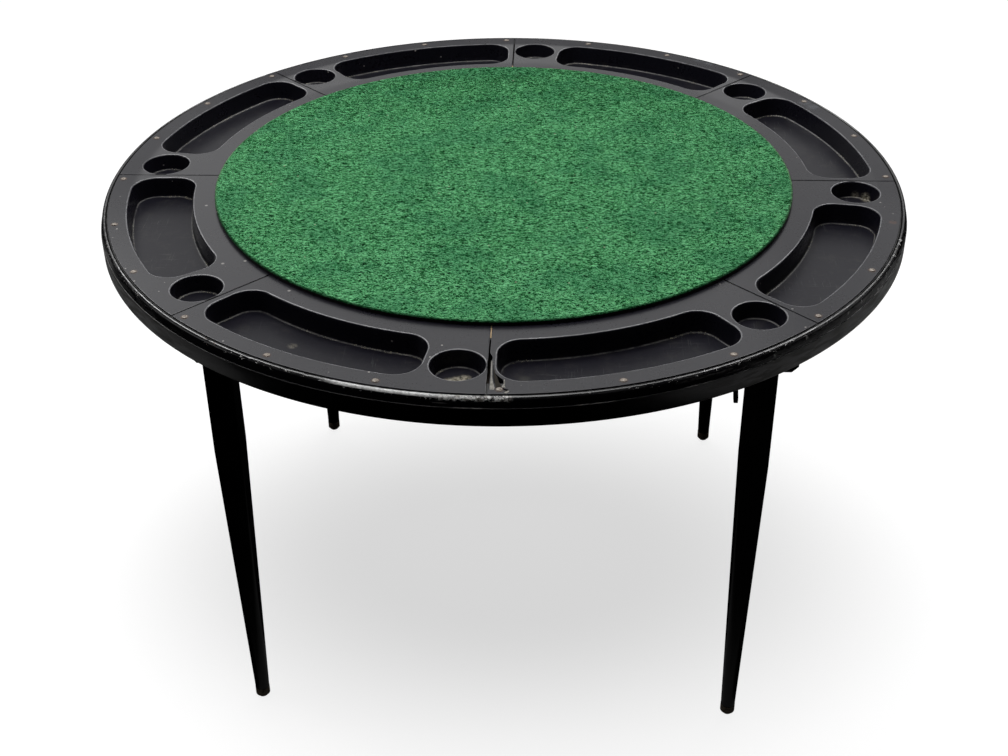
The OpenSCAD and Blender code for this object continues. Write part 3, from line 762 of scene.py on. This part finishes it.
# %% Finish of the painted hoop
def hoop_paint():
    f = Finish("hoop_paint")
    around = f.heading()
    worn = worn_stretches(around)
    nose = f.z.ramp(RIM_TOP - 6.5, RIM_TOP - 3.5)
    crown = f.z.ramp(RIM_TOP - 3.4, RIM_TOP - 2.0)
    step = 1 - (abs(f.z - (STEP_Z - 0.1)) / 1.1).lowest(1)
    foot = f.z.ramp(RIM_BOTTOM + 2.0, RIM_BOTTOM + 0.6)
    face = f.z.ramp(STEP_Z - 0.2, STEP_Z - 0.8)
    broken_up = f.cloud(3.6, detail=5, rough=0.75, stretch=(1.6, 1.6, 0.8))
    flakes = broken_up.ramp(0.60, 0.64)
    # A silver band on the crown at the front: partly bare wear, partly a painted highlight.
    silver_wear_and_highlight = abs(around - 259.5).ramp(10.0, 7.0) * crown * broken_up.ramp(0.24, 0.34)
    front_flakes = abs(around - 268.6).ramp(4.6, 3.8) * nose * broken_up.ramp(0.47, 0.50)
    bare = (nose * flakes * worn).ramp(0.15, 0.35).highest(front_flakes)
    marks = (long_marks(f, around) * f.cloud(5, detail=4, rough=0.7, stretch=(4, 4, 0.4)).ramp(0.36, 0.58)).lowest(1)
    rubbed = (crown * 0.35 + step * 0.6 + foot * 0.5) * f.cloud(24, detail=6, rough=0.7).ramp(0.36, 0.62)
    # Painted highlight: a light line along the bottom edge of the face, right of the front.
    painted_low_edge_highlight = foot * abs(around - 302).ramp(32, 22) * f.cloud(18, detail=5, stretch=(3, 3, 1)).ramp(0.30, 0.55)
    lines = f.cloud(1.4, detail=5, rough=0.7, stretch=(24, 24, 1), warp=0.4).ramp(0.58, 0.68)
    lines = lines * f.cloud(90).ramp(0.42, 0.62)
    # Lighter grey on the face at the left and the right: partly dulled paint, partly a painted reflection.
    sides = abs(around - 208).ramp(30, 12).highest(abs(around - 328).ramp(38, 20))
    dulled_and_painted_sheen = f.cloud(7, detail=6, rough=0.7, stretch=(4, 4, 0.6)).ramp(0.44, 0.58) * sides
    silver = f.blend(broken_up.ramp(0.4, 0.6), (0.55, 0.55, 0.55), (0.92, 0.92, 0.91))
    nicked = f.near([heading(*nick) for nick in NICKS], 3.4)
    nicked = nicked * f.cloud(2.2, detail=4, stretch=(1, 1, 1.6)).ramp(0.42, 0.50)
    brown_share = abs(around - 233.4).ramp(2.4, 1.6)
    chip = f.blend(f.cloud(5, detail=2).ramp(0.42, 0.50), (0.30, 0.28, 0.25), (0.80, 0.79, 0.77))
    colour = f.coated(
        f.blend(f.cloud(60), (0.0045, 0.0045, 0.0060), (0.0095, 0.0095, 0.0110)),
        (lines * 0.35, (0.060, 0.058, 0.055)),
        (dulled_and_painted_sheen * 0.75 * face, (0.13, 0.123, 0.103)),
        ((rubbed * (0.25 + 0.45 * worn)).lowest(1), (0.13, 0.125, 0.12)),
        (marks.highest(painted_low_edge_highlight * 0.8), (0.30, 0.29, 0.28)),
        (silver_wear_and_highlight * 0.9, silver),
        (nicked, (0.80, 0.80, 0.78)),
        (bare, f.blend(brown_share, chip, (0.26, 0.12, 0.065))),
    )
    rough = 0.08 + 0.16 * face + 0.12 * f.cloud(22, detail=5) + 0.3 * bare + 0.2 * marks + 0.08 * rubbed
    rough = rough + 0.12 * silver_wear_and_highlight + 0.30 * step + 0.25 * dulled_and_painted_sheen
    waves = f.bump(f.cloud(55, detail=1, stretch=(1, 1, 0.4)), 0.5)
    relief = f.bump(f.cloud(6), 0.10, under=waves)
    relief = f.bump(lines, -0.03, under=relief)
    return f.surface(colour, rough, f.bump(bare, -0.25, under=relief))


HOOP_PAINT = hoop_paint()
print("finish:", HOOP_PAINT.name)

# %% Spin the hoop and press flakes into its nose
HOOP_STEPS = 1080
NOSE_STEPS = 8
FLAKE_SIZE = 5.0
FLAKE_LEVEL = 0.62
FLAKE_GAIN = 3.0
FLAKE_DEEPEST = 0.9


def hoop_section():
    """The rim cut across: points (distance from the axis, height), from the bottom of the face over the nose."""
    inner = TABLE_R - HOOP_T
    nose_end = math.radians(NOSE_TURN)
    nose_centre = TABLE_R - STEP - SLOPE_LEAN - NOSE_R * math.sin(nose_end)
    points = [(inner, RIM_BOTTOM), (TABLE_R - BEAD, RIM_BOTTOM), (TABLE_R - 0.35, RIM_BOTTOM + 0.35)]
    points += [(TABLE_R, RIM_BOTTOM + BEAD), (TABLE_R, STEP_Z - 0.5)]
    points += [(TABLE_R - 0.25, STEP_Z - 0.1), (TABLE_R - STEP, STEP_Z)]
    for i in range(NOSE_STEPS + 1):
        a = nose_end * (1 - i / NOSE_STEPS)
        points.append((nose_centre + NOSE_R * math.sin(a), RIM_TOP - 0.05 - NOSE_R * (1 - math.cos(a))))
    return points + [(inner + 0.9, RIM_TOP - 0.5), (inner + 0.25, RIM_TOP - 1.4), (inner, RIM_TOP - 3.0)]


def worn_share(angle):
    """How worn the rim is in one direction, as the finish has it."""
    shares = [
        strength * max(0.0, min(1.0, (half - abs(angle - middle)) / (0.6 * half)))
        for middle, half, strength in WORN_STRETCHES
    ]
    return max(shares)


def rim_hoop():
    bm = bmesh.new()
    corners = [bm.verts.new((r, 0, z)) for r, z in hoop_section()]
    edges = [bm.edges.new(pair) for pair in zip(corners, corners[1:] + corners[:1])]
    bmesh.ops.spin(
        bm, geom=corners + edges, cent=(0, 0, 0), axis=UP, angle=2 * math.pi, steps=HOOP_STEPS, use_merge=True,
        use_duplicate=False,
    )
    bmesh.ops.recalc_face_normals(bm, faces=bm.faces)
    pressed = 0
    for v in bm.verts:
        if v.co.z < RIM_TOP - NOSE_R:
            continue
        angle = math.degrees(math.atan2(v.co.y, v.co.x)) % 360
        depth = noise.fractal(v.co / FLAKE_SIZE, 0.9, 2.2, 3) * 0.5 + 0.5
        bite = max(0.0, depth - FLAKE_LEVEL) * FLAKE_GAIN * worn_share(angle)
        v.co.z -= min(FLAKE_DEEPEST, bite)
        pressed += bite > 0.05
    print("points pressed into flakes:", pressed)
    return finished(bm, "painted_hoop", "root", HOOP_PAINT, ["rim_hoop"], sharp=28)


hoop = rim_hoop()
print("faces in the hoop:", len(hoop.data.polygons))


# %% [markdown]
# ## Carpet
# The playing surface is plain outdoor carpet: fibres punched with needles into a dense, clumpy mat, cut round and glued
# to its board. From a step away it reads as rough grain, so the sheet itself gets a fine uneven surface and a frayed
# edge. The finish makes the fray pale at the back and dark with painted shade at the front. It adds the clumps of fibre
# in their own tones, with painted highlights on them and painted shade where they part, and the whole is painted a
# little darker towards the back. A grid pulled into a disc keeps its squares almost equal, which a fan of triangles
# from the middle would not.

# %% Finish of the carpet
def needled_carpet():
    f = Finish("needled_carpet")
    strands = f.cloud(3.8, rough=0.62, stretch=(1.7, 0.8, 1), warp=1.2)
    fine = f.cloud(1.3, detail=2, rough=0.7, stretch=(1.6, 0.9, 1), warp=0.8)
    pits = f.cloud(5.0, detail=2, stretch=(1.7, 0.8, 1), shift=4.0, warp=0.8).ramp(0.37, 0.30)
    patches = f.cloud(70, detail=4, rough=0.6)
    fray = f.reach().ramp(CARPET_R - 4, CARPET_R - 1.5)
    pale_fray = fray * f.y.ramp(-200, 60)
    # The colour follows the fibres: partly their own tones, partly painted highlights on the clumps and painted shade
    # in the pits between them.
    light = (strands - 0.5) * 4.8 + (fine - 0.5) * 4.6 + (patches - 0.5) * 0.3 + 0.55 - 1.3 * pits
    # Painted light: darker towards the back of the table and a little lighter towards the front.
    light = light - 0.17 * f.y.ramp(120, 420) + 0.08 * f.y.ramp(-180, -420)
    light = light.lowest(1).highest(0)
    stops = [(0.0, (0.002, 0.025, 0.006)), (0.25, (0.014, 0.135, 0.036)), (0.5, (0.039, 0.290, 0.079))]
    stops += [(0.75, (0.095, 0.470, 0.165)), (1.0, (0.27, 0.78, 0.38))]
    colour = f.add("ValToRGB", {"stops": stops}, {0: light}, out="Color")
    faded = f.cloud(95, shift=9.0).ramp(0.46, 0.60) * 0.30
    colour = f.coated(
        colour,
        (faded * light.ramp(0.1, 0.5), (0.022, 0.190, 0.095)),
        # Painted shade on the frayed edge at the front of the carpet.
        ((fray - pale_fray) * 0.8, (0.006, 0.050, 0.016)),
        (pale_fray * fine.ramp(0.35, 0.55) * 0.85, (0.30, 0.50, 0.26)),
        (f.cells(34).ramp(0.05, 0.03) * 0.6, (0.75, 0.68, 0.55)),
    )
    coarse = f.bump(strands - 0.6 * pits, 4.0)
    relief = f.bump(fine, 1.0, under=coarse)
    return f.surface(colour, 0.95, relief, Specular_IOR_Level=0.05)


CARPET = needled_carpet()
print("finish:", CARPET.name)

# %% Cut the carpet round and fray its edge
CARPET_GRID = 300
CARPET_PILE = 0.6
CARPET_EDGE_W = 2.4
CARPET_EDGE = [(0.9, 0.35), (1.3, 1.4), (1.0, 2.6)]
random.seed(11)


def carpet_disc():
    bm = bmesh.new()
    top = CARPET_TOP - CARPET_PILE
    bmesh.ops.create_grid(bm, x_segments=CARPET_GRID, y_segments=CARPET_GRID, size=1)
    disc_r = CARPET_R - CARPET_EDGE_W
    for v in bm.verts:
        x, y = v.co.x, v.co.y
        v.co = Vector((x * math.sqrt(1 - y * y / 2) * disc_r, y * math.sqrt(1 - x * x / 2) * disc_r, top))
    for v in bm.verts:
        clumps = noise.fractal(v.co / 7.0, 0.8, 2.1, 3)
        v.co.z += 0.55 * clumps + random.uniform(-0.22, 0.22)
    edge = [e for e in bm.edges if e.is_boundary]
    for out, down in CARPET_EDGE:
        made = bmesh.ops.extrude_edge_only(bm, edges=edge)["geom"]
        ring = [v for v in made if isinstance(v, bmesh.types.BMVert)]
        edge = [e for e in made if isinstance(e, bmesh.types.BMEdge)]
        for v in ring:
            away = Vector((v.co.x, v.co.y, 0)).normalized()
            fray = noise.noise(v.co / 2.5) * 0.9
            v.co += away * (out * (1 if down < 2 else -0.6) + fray * 0.5)
            v.co.z = top - down + noise.noise(v.co / 3.0) * 0.25
    bmesh.ops.contextual_create(bm, geom=edge)
    bmesh.ops.recalc_face_normals(bm, faces=bm.faces)
    piece = finished(bm, "needled_carpet", "root", CARPET, ["playing_carpet"], sharp=180)
    return piece


carpet = carpet_disc()
print("faces in the carpet:", len(carpet.data.polygons))


# %% [markdown]
# ## Wood, paint and metal of the carried-over parts
# The parts below keep their meshes from the frame, because their shapes are right as they are. Each gets a finish
# of its own kind: black paint over turned and planed wood, stamped steel under enamel, dull zinc on bolts and
# screws, brown worn brass at the feet, and bare boards inside the top.

# %% Paint, enamel and metals
def leg_paint():
    f = Finish("leg_paint")
    low = f.z.ramp(150, 25)
    chips = f.cloud(6, detail=6, rough=0.72).ramp(0.665, 0.69) * (0.25 + 0.75 * low)
    streaks = f.cloud(3, detail=4, rough=0.6, stretch=(1, 1, 30)).ramp(0.45, 0.70)
    colour = f.blend(streaks, (0.0050, 0.0050, 0.0060), (0.0085, 0.0085, 0.0095))
    colour = f.coated(colour, (chips.ramp(0.3, 0.6), (0.17, 0.11, 0.06)))
    rough = 0.30 + 0.12 * f.cloud(25, detail=4) + 0.08 * streaks + 0.25 * chips
    relief = f.bump(streaks, 0.06, under=f.bump(f.cloud(40, detail=2, stretch=(1, 1, 4)), 0.4))
    return f.surface(colour, rough, f.bump(chips, -0.12, under=relief))


def stamped_enamel():
    f = Finish("stamped_enamel")
    rust = f.cloud(9, detail=6, rough=0.7).ramp(0.60, 0.70)
    rubbed = f.cloud(16, detail=5, rough=0.65, shift=3.0).ramp(0.58, 0.72)
    colour = f.blend(f.cloud(30), (0.010, 0.010, 0.012), (0.020, 0.020, 0.022))
    colour = f.coated(colour, (rubbed * 0.6, (0.12, 0.12, 0.125)), (rust * 0.7, (0.11, 0.045, 0.018)))
    rough = 0.30 + 0.15 * f.cloud(12) + 0.35 * rust
    return f.surface(colour, rough, f.bump(f.cloud(2.5), 0.05, under=f.bump(rust, 0.08)))


def metal(name, bright, dull, spots, spot_colour, shine, patch=8.0, bare=1.0):
    """A worn metal: two tones of itself, and spots of another colour where it has tarnished or rusted. What isn't
    bare lies under grime."""
    f = Finish(name)
    tarnish = f.cloud(patch, detail=6, rough=0.65).ramp(0.35, 0.65)
    stain = f.cloud(patch * 0.6, detail=6, rough=0.7, shift=5.0).ramp(1 - spots, 1 - spots + 0.12)
    brushed = f.cloud(0.8, stretch=(6, 6, 1))
    colour = f.blend(stain, f.blend(tarnish, bright, dull), spot_colour)
    rough = shine + 0.15 * tarnish + 0.30 * stain + 0.06 * brushed
    metallic = (1 - 0.75 * stain) * bare
    relief = f.bump(stain, 0.05, under=f.bump(brushed, 0.02))
    return f.surface(colour, rough, relief, Metallic=metallic)


LEG_PAINT = leg_paint()
ENAMEL = stamped_enamel()
ZINC = metal("dull_zinc", (0.52, 0.51, 0.50), (0.30, 0.29, 0.28), 0.42, (0.16, 0.08, 0.04), 0.32)
BRASS = metal("foot_brass", (0.30, 0.23, 0.15), (0.10, 0.075, 0.05), 0.46, (0.018, 0.013, 0.010), 0.40, 6, bare=0.25)
# A lighter copy of the same brass for the back feet: painted light.
BRASS_PAINTED_LIT = metal(
    "brass_painted_lit", (0.44, 0.34, 0.25), (0.20, 0.15, 0.11), 0.42, (0.05, 0.036, 0.026), 0.42, 6, bare=0.2
)
GLIDE = metal("rubbed_glide", (0.07, 0.06, 0.05), (0.02, 0.017, 0.015), 0.46, (0.012, 0.009, 0.007), 0.34, 5, bare=0.4)
NAIL = metal("nail_heads", (0.34, 0.31, 0.27), (0.20, 0.165, 0.135), 0.46, (0.12, 0.06, 0.036), 0.50, 2.6, bare=0.3)
print("metals:", [m.name for m in (ZINC, BRASS, BRASS_PAINTED_LIT, GLIDE, NAIL)])


# %% Boards and blocks
GRAIN_STRETCH = 18
BLACKENED = (0.004, 0.004, 0.004)


def wood_grain(f, along):
    """The soft rings and the fine pores of wood whose grain runs along one axis."""
    stretch = tuple(GRAIN_STRETCH if axis == along else 1 for axis in "XYZ")
    rings = f.cloud(14, rough=0.6, stretch=stretch, warp=0.8).ramp(0.3, 0.7)
    pores = f.cloud(1.2, rough=0.7, stretch=stretch).ramp(0.55, 0.75)
    return rings, pores


def panel_wood():
    """The bare wood of the centre panel, blackened along its edge."""
    f = Finish("bare_panel")
    rings, pores = wood_grain(f, "Y")
    edge_r = span("centre_panel")[1].x
    colour = f.coated(
        f.blend(rings, (0.55, 0.39, 0.22), (0.42, 0.27, 0.14)),
        (pores * 0.5, (0.168, 0.108, 0.056)),
        (f.reach().ramp(edge_r - 6, edge_r - 4), BLACKENED),
    )
    return f.surface(colour, 0.62 + 0.18 * rings, f.bump(pores, -0.12))


def pressed_board(name, light, dark):
    """Hardboard: brown fibres pressed flat, with darker stains."""
    f = Finish(name)
    fibres = f.cloud(2.4, detail=5, rough=0.75, warp=1.5)
    stains = f.cloud(120, detail=5, rough=0.6).ramp(0.45, 0.7)
    colour = f.blend(fibres.ramp(0.3, 0.7), light, dark)
    colour = f.blend(stains * 0.5, colour, tuple(0.5 * c for c in dark))
    return f.surface(colour, 0.70 + 0.15 * fibres, f.bump(fibres, 0.15))


def blocks_with_painted_shade():
    """Bare blocks. Their outer edge, the strips under the seams and the spot that the broken corner lays open are
    painted black: painted shade in the gap at the rim, in the seams and in the hole above them."""
    f = Finish("bare_blocks")
    rings, pores = wood_grain(f, "X")
    at_seam = abs(f.heading().wrapped(-SEGMENT_A / 2, SEGMENT_A / 2)) * f.reach() * math.radians(1)
    # Painted shade: black under the gap at the rim and under the seams.
    edge = f.reach().ramp(PLASTIC_R - 1.5, PLASTIC_R - 0.8).highest(at_seam.ramp(8, 6))
    # Painted shade in the hole that the broken corner lays open.
    hole_shade = f.near([(14, -580, RING_TOP - SHELL_T)], 40)
    colour = f.coated(
        f.blend(rings, (0.50, 0.33, 0.18), (0.34, 0.20, 0.10)),
        (pores * 0.5, (0.14, 0.08, 0.04)),
        (hole_shade, f.blend(rings, (0.020, 0.018, 0.018), (0.008, 0.008, 0.009))),
        (edge, BLACKENED),
    )
    return f.surface(colour, 0.62 + 0.18 * rings, f.bump(pores, -0.12))


BLOCKS = blocks_with_painted_shade()
PANEL = panel_wood()
DECK = pressed_board("dark_hardboard", (0.060, 0.042, 0.030), (0.034, 0.024, 0.018))
BOARD_EDGE = pressed_board("blackened_board", (0.016, 0.016, 0.015), (0.009, 0.009, 0.009))
print("boards:", [m.name for m in (BLOCKS, PANEL, DECK, BOARD_EDGE)])

# %% [markdown]
# The nails get a piece of their own, because a hammer never leaves 24 heads alike. Each head is a small lens on its
# shank and sits a little aslant. One head, near the right side, came off long ago; its shank is still in the block.

# %% Drive the nails
NAIL_HEAD_R = 4.2
NAIL_HEAD_H = 1.2
NAIL_SHANK_R = 1.2
NAIL_SHANK_L = 22.0


def tray_nails():
    bm = bmesh.new()
    heads = 0
    for i in range(SEGMENTS * NAILS_IN_SEGMENT):
        angle = NAIL_A0 + i * NAIL_A
        foot = heading(angle, NAIL_R, RING_TOP)
        shank = Matrix.Translation(foot - UP * (NAIL_SHANK_L / 2 + 0.2))
        bmesh.ops.create_cone(
            bm, cap_ends=True, segments=16, radius1=0.5, radius2=NAIL_SHANK_R, depth=NAIL_SHANK_L, matrix=shank
        )
        if abs(angle - HEADLESS) < 2:
            continue
        slant = Matrix.Rotation(math.radians(random.uniform(-4, 4)), 4, heading(random.uniform(0, 360)))
        lens = Matrix.Translation(foot + UP * 0.15) @ slant @ Matrix.Diagonal((1, 1, NAIL_HEAD_H / NAIL_HEAD_R, 1))
        bmesh.ops.create_icosphere(bm, subdivisions=3, radius=NAIL_HEAD_R, matrix=lens)
        heads += 1
    print("nail heads:", heads)
    return finished(bm, "driven_nails", "root", NAIL, ["tray_nails"], sharp=50)


driven_nails = tray_nails()

# %% Give each carried-over part its finish
FINISH_OF = {"deck_panel": DECK, "centre_panel": PANEL, "felt_board": BOARD_EDGE}
FINISH_OF |= dict.fromkeys(["nailing_ring", "inner_ring", "core_block"], BLOCKS)
FINISH_OF |= dict.fromkeys(["leg_pivot_bolts", "leg_pivot_nuts", "bracket_screws"], ZINC)
AT_EACH_LEG = dict.fromkeys(["leg_bracket", "brace_track", "brace"], ENAMEL)
AT_EACH_LEG |= {"leg": LEG_PAINT, "leg_glide": GLIDE, "brace_rivet": ZINC, "brace_pin": ZINC}
for station in STATIONS:
    FINISH_OF |= {f"{part}_{station}": finish for part, finish in AT_EACH_LEG.items()}
    # The back ferrules take the lighter copy of the brass, which paints the light on them.
    FINISH_OF["leg_ferrule_" + station] = BRASS if station.startswith("front") else BRASS_PAINTED_LIT
for name, finish in FINISH_OF.items():
    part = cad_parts[name]
    part.data.materials.clear()
    part.data.materials.append(finish)
left_plain = [n for n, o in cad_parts.items() if n not in FINISH_OF and not o.hide_render]
print("parts with a finish:", len(FINISH_OF), "left without one:", left_plain)


# %% [markdown]
# ## Floor
# A pale seamless floor is enough for a studio. It glows by itself, less under the table than round it, which paints a
# soft shadow under the table and keeps the real shadows at the feet light. Nothing on the table mirrors it, so the
# black stays black. It isn't part of the table.

# %% Lay the floor
def studio_floor():
    bm = bmesh.new()
    bmesh.ops.create_grid(bm, x_segments=1, y_segments=1, size=9)
    mesh = bpy.data.meshes.new("studio_floor")
    bm.to_mesh(mesh)
    bm.free()
    f = Finish("floor_paint")
    away = ((f.x * 0.7) ** 2 + f.y ** 2) ** 0.5
    # Painted shadow: the glow is weaker under the table than round it.
    glow_with_painted_shadow = f.blend(away.ramp(160, 600), (0.64, 0.64, 0.64), (0.93, 0.93, 0.93))
    glow = {"Emission_Color": glow_with_painted_shadow, "Emission_Strength": 1.0}
    mesh.materials.append(f.surface((0.30, 0.30, 0.30), 0.9, Specular_IOR_Level=0.0, **glow))
    floor = bpy.data.objects.new("studio_floor", mesh)
    bpy.context.scene.collection.objects.link(floor)
    floor.visible_glossy = False
    floor.visible_diffuse = False
    return floor


studio_floor()
